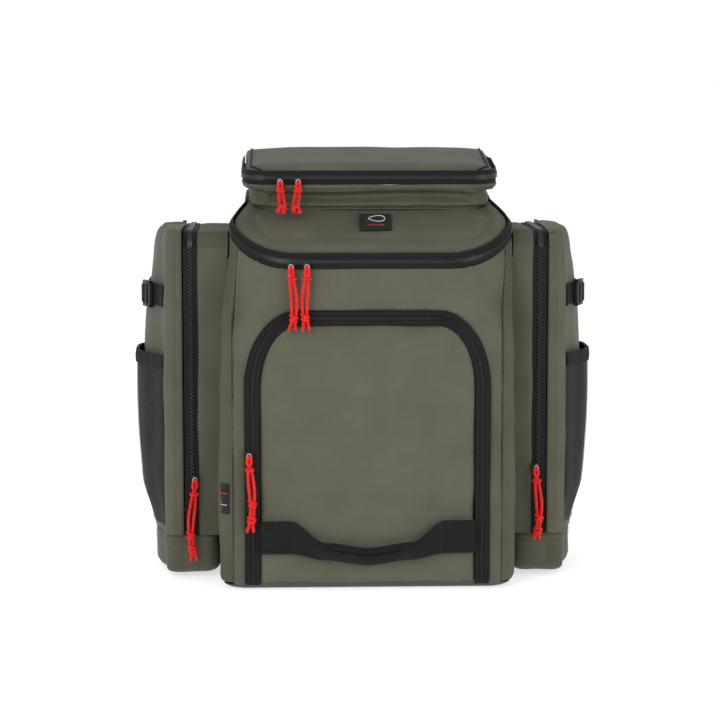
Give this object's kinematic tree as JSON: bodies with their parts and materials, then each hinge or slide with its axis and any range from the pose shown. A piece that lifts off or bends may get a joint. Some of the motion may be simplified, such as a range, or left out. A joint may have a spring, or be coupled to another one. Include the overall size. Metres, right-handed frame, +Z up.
{
  "type": "tackle backpack",
  "caption": "Soft tackle backpack with a zipped lid and top pocket, a zipped front pocket, side pockets with net sleeves, webbing handles and shoulder straps.",
  "frame": {"origin": "centre of the flat underside of the main body's base panel, on the floor, level with the middle of the pack's width", "axes": "+X to the right for someone facing the front, -Y out of the front, +Z up"},
  "size_m": [0.5436, 0.3247, 0.5019],
  "materials": {
    "olive_cloth": "woven matt polyester, olive",
    "olive_cloth_side": "woven matt polyester, olive, shaded sides",
    "coated_base": "dark grey coated base cloth",
    "stiff_board": "stiffening board",
    "lining": "grey lining",
    "padded_mesh": "black air mesh over foam",
    "net": "black knitted net with elastic binding",
    "webbing": "black woven webbing",
    "zip_tape": "black zip tape with coil",
    "moulded_plastic": "black moulded buckle plastic",
    "slider_metal": "black enamelled zip slider with a bright wire loop",
    "red_cord": "red braided cord"
  },
  "bodies": {
    "pack": {"base_panel": "coated_base", "base_board": "stiff_board", "front_surround": "olive_cloth", "side_panel_left": "olive_cloth_side", "side_panel_right": "olive_cloth_side", "back_panel": "olive_cloth_side", "pocket_divider": "lining", "main_zip_lower": "zip_tape", "front_zip_outer": "zip_tape", "side_pocket_frame_left": "olive_cloth_side", "side_pocket_frame_right": "olive_cloth_side", "side_pocket_base_left": "olive_cloth_side", "side_pocket_base_right": "olive_cloth_side", "side_zip_fixed_left": "zip_tape", "side_zip_fixed_right": "zip_tape", "back_pad_left": "padded_mesh", "back_pad_right": "padded_mesh"},
    "main_lid": {"main_lid": "olive_cloth", "main_zip_upper": "zip_tape", "top_pocket_walls": "olive_cloth_side", "top_pocket_back": "olive_cloth_side", "top_zip_lower": "zip_tape"},
    "top_lid": {"top_lid": "olive_cloth", "top_zip_upper": "zip_tape"},
    "front_pocket": {"front_panel": "olive_cloth", "front_zip_inner": "zip_tape", "handle_anchor_left": "webbing", "handle_anchor_right": "webbing"},
    "haul_handle": {"haul_handle": "webbing"},
    "grab_handle": {"grab_handle": "webbing"},
    "side_door_left": {"side_door_left": "olive_cloth", "side_zip_door_left": "zip_tape", "mesh_pocket_left": "net", "side_strap_left": "webbing", "side_buckle_left": "moulded_plastic"},
    "shoulder_strap_left": {"shoulder_strap_left": "padded_mesh", "ladder_lock_left": "moulded_plastic", "strap_webbing_left": "webbing"},
    "side_door_right": {"side_door_right": "olive_cloth", "side_zip_door_right": "zip_tape", "mesh_pocket_right": "net", "side_strap_right": "webbing", "side_buckle_right": "moulded_plastic"},
    "shoulder_strap_right": {"shoulder_strap_right": "padded_mesh", "ladder_lock_right": "moulded_plastic", "strap_webbing_right": "webbing"},
    "lid_slider_left": {"lid_slider_left": "slider_metal"},
    "lid_pull_left": {"lid_pull_left": "red_cord"},
    "lid_slider_right": {"lid_slider_right": "slider_metal"},
    "lid_pull_right": {"lid_pull_right": "red_cord"},
    "top_slider_left": {"top_slider_left": "slider_metal"},
    "top_pull_left": {"top_pull_left": "red_cord"},
    "top_slider_right": {"top_slider_right": "slider_metal"},
    "top_pull_right": {"top_pull_right": "red_cord"},
    "front_slider": {"front_slider": "slider_metal"},
    "front_pull": {"front_pull": "red_cord"},
    "side_slider_left": {"side_slider_left": "slider_metal"},
    "side_pull_left": {"side_pull_left": "red_cord"},
    "side_slider_right": {"side_slider_right": "slider_metal"},
    "side_pull_right": {"side_pull_right": "red_cord"}
  },
  "joints": [
    {"name": "main_lid_hinge", "type": "hinge", "parent": "pack", "child": "main_lid", "pos_m": [0, 0.098, 0.45], "axis": [-1, 0, 0], "range_deg": [0, 90]},
    {"name": "top_lid_hinge", "type": "hinge", "parent": "main_lid", "child": "top_lid", "pos_m": [0, 0.092, 0.4955], "axis": [-1, 0, 0], "range_deg": [0, 100]},
    {"name": "front_pocket_hinge", "type": "hinge", "parent": "pack", "child": "front_pocket", "pos_m": [0, -0.15, 0.0063], "axis": [1, 0, 0], "range_deg": [0, 80]},
    {"name": "haul_handle_swing", "type": "hinge", "parent": "front_pocket", "child": "haul_handle", "pos_m": [0, -0.1607, 0.0834], "axis": [-1, 0, 0], "range_deg": [0, 120]},
    {"name": "grab_handle_swing", "type": "hinge", "parent": "pack", "child": "grab_handle", "pos_m": [0, 0.1035, 0.4208], "axis": [1, 0, 0], "range_deg": [0, 60]},
    {"name": "side_door_left_hinge", "type": "hinge", "parent": "pack", "child": "side_door_left", "pos_m": [-0.2505, -0.0045, 0.052], "axis": [0, -1, 0], "range_deg": [0, 85]},
    {"name": "side_door_right_hinge", "type": "hinge", "parent": "pack", "child": "side_door_right", "pos_m": [0.2505, -0.0045, 0.052], "axis": [0, 1, 0], "range_deg": [0, 85]},
    {"name": "shoulder_strap_left_swing", "type": "hinge", "parent": "pack", "child": "shoulder_strap_left", "pos_m": [-0.085, 0.134, 0.425], "axis": [0.1069, 0.0696, 0.9918], "range_deg": [-14, 14]},
    {"name": "shoulder_strap_right_swing", "type": "hinge", "parent": "pack", "child": "shoulder_strap_right", "pos_m": [0.085, 0.134, 0.425], "axis": [-0.1069, 0.0696, 0.9918], "range_deg": [-14, 14]},
    {"name": "lid_slider_left_slide", "type": "slide", "parent": "pack", "child": "lid_slider_left", "axis": [1, 0, 0], "range_m": [-0.003, 0.007]},
    {"name": "lid_pull_left_swing", "type": "hinge", "parent": "lid_slider_left", "child": "lid_pull_left", "pos_m": [-0.087, -0.16221, 0.3737], "axis": [-1, 0, 0], "range_deg": [0, 120]},
    {"name": "lid_slider_right_slide", "type": "slide", "parent": "pack", "child": "lid_slider_right", "axis": [1, 0, 0], "range_m": [-0.007, 0.15]},
    {"name": "lid_pull_right_swing", "type": "hinge", "parent": "lid_slider_right", "child": "lid_pull_right", "pos_m": [-0.069, -0.16221, 0.3737], "axis": [-1, 0, 0], "range_deg": [0, 120]},
    {"name": "top_slider_left_slide", "type": "slide", "parent": "main_lid", "child": "top_slider_left", "axis": [1, 0, 0], "range_m": [-0.012, 0.009]},
    {"name": "top_pull_left_swing", "type": "hinge", "parent": "top_slider_left", "child": "top_pull_left", "pos_m": [-0.099, -0.07621, 0.4655], "axis": [-1, 0, 0], "range_deg": [0, 120]},
    {"name": "top_slider_right_slide", "type": "slide", "parent": "main_lid", "child": "top_slider_right", "axis": [1, 0, 0], "range_m": [-0.009, 0.18]},
    {"name": "top_pull_right_swing", "type": "hinge", "parent": "top_slider_right", "child": "top_pull_right", "pos_m": [-0.078, -0.07621, 0.4655], "axis": [-1, 0, 0], "range_deg": [0, 120]},
    {"name": "front_slider_slide", "type": "slide", "parent": "pack", "child": "front_slider", "axis": [0, 0, 1], "range_m": [-0.14, 0.06]},
    {"name": "front_pull_swing", "type": "hinge", "parent": "front_slider", "child": "front_pull", "pos_m": [-0.1357, -0.16321, 0.158], "axis": [-1, 0, 0], "range_deg": [0, 120]},
    {"name": "side_slider_left_slide", "type": "slide", "parent": "pack", "child": "side_slider_left", "axis": [0, 0, 1], "range_m": [-0.05, 0.255]},
    {"name": "side_pull_left_swing", "type": "hinge", "parent": "side_slider_left", "child": "side_pull_left", "pos_m": [-0.2, -0.09621, 0.119], "axis": [-1, 0, 0], "range_deg": [0, 120]},
    {"name": "side_slider_right_slide", "type": "slide", "parent": "pack", "child": "side_slider_right", "axis": [0, 0, 1], "range_m": [-0.06, 0.245]},
    {"name": "side_pull_right_swing", "type": "hinge", "parent": "side_slider_right", "child": "side_pull_right", "pos_m": [0.2, -0.09621, 0.131], "axis": [-1, 0, 0], "range_deg": [0, 120]}
  ]
}
